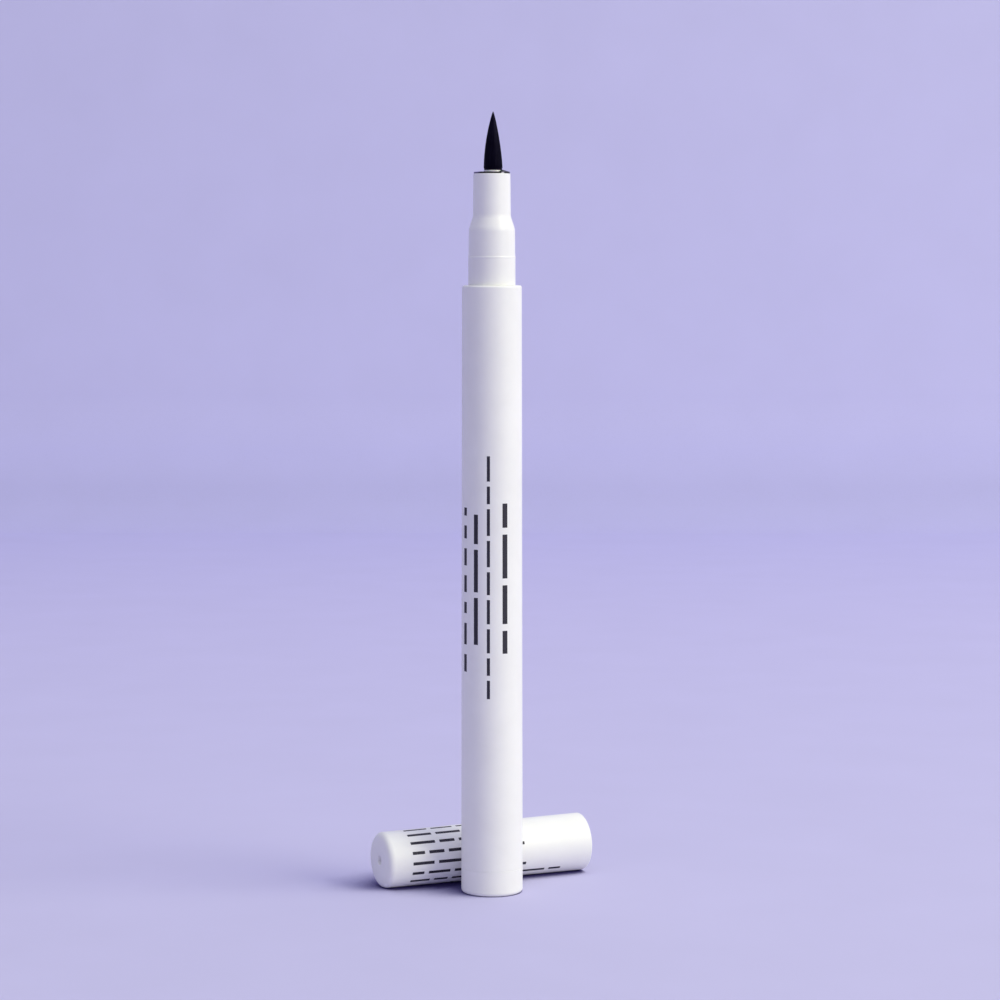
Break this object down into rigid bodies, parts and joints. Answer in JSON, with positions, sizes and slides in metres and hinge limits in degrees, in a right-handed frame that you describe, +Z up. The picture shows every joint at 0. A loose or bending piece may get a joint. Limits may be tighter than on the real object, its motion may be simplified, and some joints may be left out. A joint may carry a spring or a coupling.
{
  "type": "liquid eyeliner pen",
  "caption": "Slim white liquid eyeliner pen standing on its tail with its black brush tip up, ink feed and mixing balls inside, and its cap with a sprung inner cap lying behind it.",
  "frame": {"origin": "centre of the tail face that the pen stands on", "axes": "+Z up the pen's axis to the brush, +X to the right and +Y away from the viewer in the pictured view; the cap lies on the same surface at +Y"},
  "size_m": [0.0367, 0.0274, 0.1264],
  "materials": {
    "barrel_polypropylene": "satin moulded white",
    "plug_polypropylene": "satin moulded white",
    "nozzle_polypropylene": "satin moulded white",
    "cap_polypropylene": "polished moulded white",
    "inner_cap_polyethylene": "soft translucent white",
    "seal_rubber": "black nitrile",
    "ball_steel": "polished stainless steel",
    "spring_steel": "drawn stainless wire",
    "collector_abs": "natural moulded",
    "core_fibre": "bonded polyester fibre, wet with ink",
    "sponge_foam": "open foam, damp with ink",
    "holder_acetal": "white moulded, ink-stained",
    "tuft_filament": "fine filaments, wet with ink"
  },
  "bodies": {
    "pen": {"barrel": "barrel_polypropylene", "tail_plug": "plug_polypropylene", "tail_seal_ring": "seal_rubber", "nozzle": "nozzle_polypropylene", "nozzle_seal_ring": "seal_rubber", "ink_collector": "collector_abs", "relay_core": "core_fibre", "overflow_sponge": "sponge_foam", "tuft_holder": "holder_acetal", "brush_tuft": "tuft_filament"},
    "ball_left": {"mixing_ball_left": "ball_steel"},
    "ball_right": {"mixing_ball_right": "ball_steel"},
    "cap": {"cap_shell": "cap_polypropylene", "inner_cap_spring": "spring_steel"},
    "inner_cap": {"inner_cap": "inner_cap_polyethylene"}
  },
  "joints": [
    {"name": "cap_pull", "type": "slide", "parent": "pen", "child": "cap", "axis": [-0.903, -0.4297, 0], "range_m": [0, 0.028]},
    {"name": "inner_cap_travel", "type": "slide", "parent": "cap", "child": "inner_cap", "axis": [-0.9029, -0.4297, -0.0059], "range_m": [0, 0.0015], "stiffness_N_per_m": 200, "springref_m": -0.0005, "deforming": ["inner_cap_spring"]},
    {"name": "mixing_ball_left_travel", "type": "slide", "parent": "pen", "child": "ball_left", "axis": [0, 0, 1], "range_m": [0, 0.079]},
    {"name": "mixing_ball_right_travel", "type": "slide", "parent": "pen", "child": "ball_right", "axis": [0, 0, 1], "range_m": [0, 0.079]}
  ]
}
